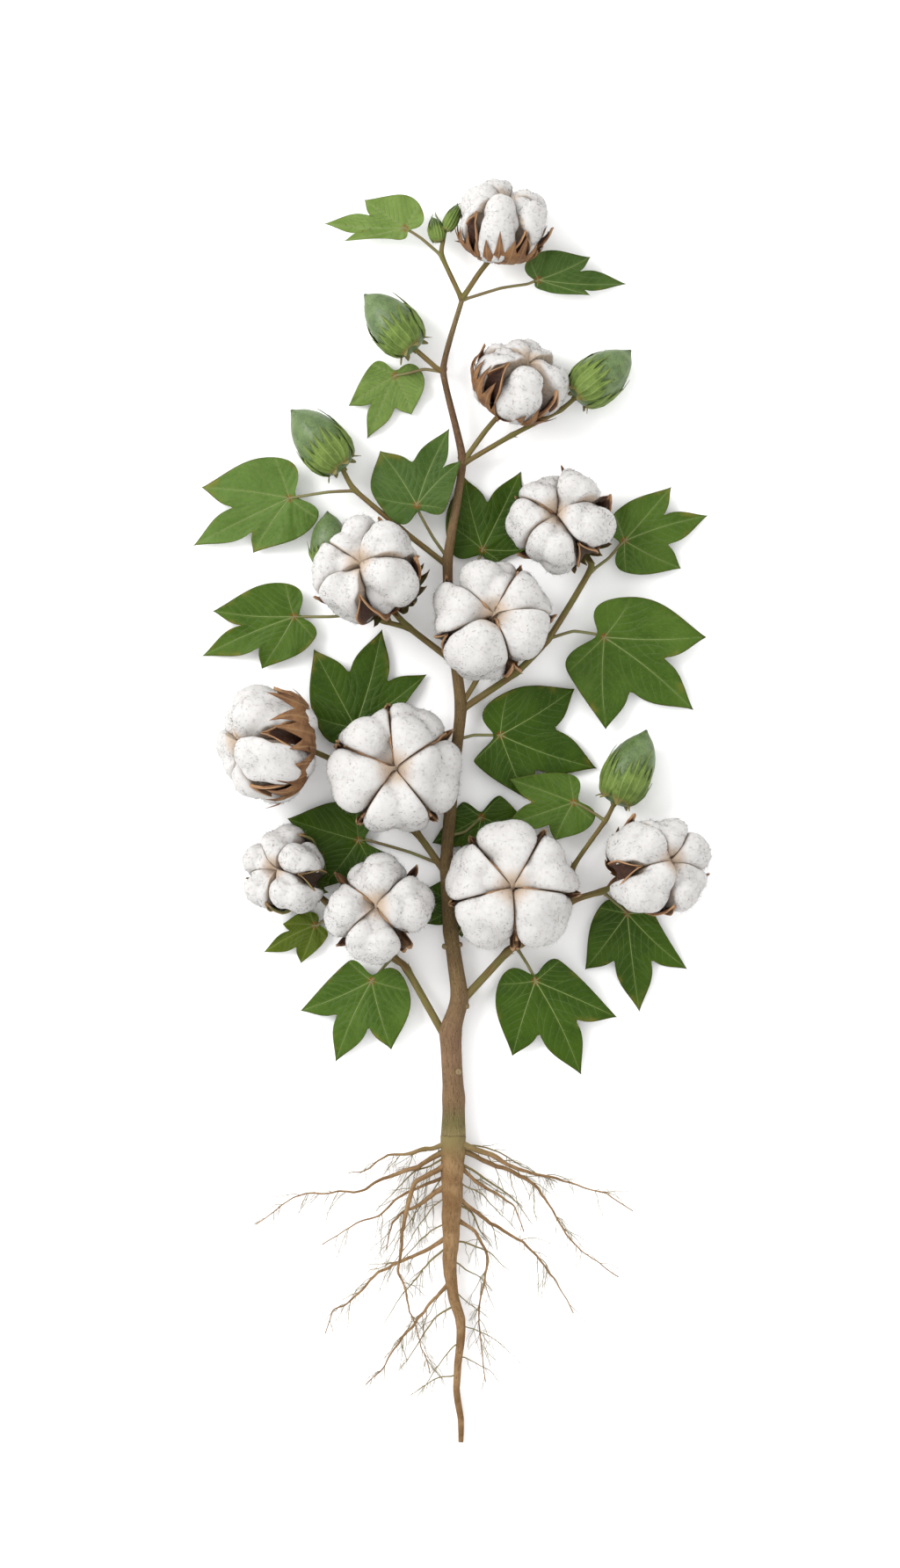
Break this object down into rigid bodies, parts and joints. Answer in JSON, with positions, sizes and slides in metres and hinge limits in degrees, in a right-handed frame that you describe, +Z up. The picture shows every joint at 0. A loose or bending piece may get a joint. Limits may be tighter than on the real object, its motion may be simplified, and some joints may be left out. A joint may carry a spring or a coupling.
{
  "type": "cotton plant",
  "caption": "Whole uprooted cotton plant lying flat, with branched taproot, zigzag stem, lobed leaves, open white bolls and green bolls.",
  "frame": {"origin": "middle of the foot of the plant's box, on the surface it lies on", "axes": "+Y from the root tip to the top of the shoot, +X to the right seen from above, +Z up from the surface"},
  "size_m": [0.3528, 0.8604, 0.0834],
  "materials": {
    "stem_bark": "dull brown bark with shallow furrows",
    "branch_bark": "thin satin bark, green to brown",
    "root_bark": "matt pale tan root skin",
    "leaf": "soft satin green blade with pale veins",
    "cotton": "white matt fluff",
    "boll_green": "smooth green husk with a soft sheen",
    "bur": "dry papery brown husk, dark inside, with pale tan rims",
    "bract": "thin veined yellow-green bract"
  },
  "bodies": {
    "root": {"boll_base_left": "cotton", "boll_far_left": "cotton", "boll_left": "cotton", "boll_low_left": "cotton", "boll_low_middle": "cotton", "boll_low_right": "cotton", "boll_mid_left": "cotton", "boll_middle": "cotton", "boll_right": "cotton", "boll_top": "cotton", "boll_upper": "cotton", "branch_base_left": "branch_bark", "branch_low_right": "branch_bark", "branch_lower_left": "branch_bark", "branch_mid_left": "branch_bark", "branch_mid_right": "branch_bark", "branch_upper_left": "branch_bark", "branch_upper_right": "branch_bark", "flower_buds": "boll_green", "fork_top": "branch_bark", "green_boll_behind": "boll_green", "green_boll_left": "boll_green", "green_boll_low_right": "boll_green", "green_boll_right": "boll_green", "green_boll_top": "boll_green", "leaf_base_small": "leaf", "leaf_behind_low": "leaf", "leaf_behind_middle": "leaf", "leaf_behind_upper": "leaf", "leaf_left_behind": "leaf", "leaf_left_middle": "leaf", "leaf_left_upper": "leaf", "leaf_left_upper_back": "leaf", "leaf_low_far_right": "leaf", "leaf_low_left": "leaf", "leaf_low_right": "leaf", "leaf_over_stem": "leaf", "leaf_right_large": "leaf", "leaf_right_middle": "leaf", "leaf_right_over": "leaf", "leaf_right_upper": "leaf", "leaf_top_left": "leaf", "leaf_top_right": "leaf", "leaf_upper_small": "leaf", "main_stem": "stem_bark", "root_left_1": "root_bark", "root_left_2": "root_bark", "root_left_3": "root_bark", "root_left_4": "root_bark", "root_left_5": "root_bark", "root_left_6": "root_bark", "root_left_7": "root_bark", "root_right_1": "root_bark", "root_right_2": "root_bark", "root_right_3": "root_bark", "root_right_4": "root_bark", "root_right_5": "root_bark", "spur_low_right": "branch_bark", "spur_mid_left": "branch_bark", "taproot": "root_bark"}
  },
  "joints": []
}
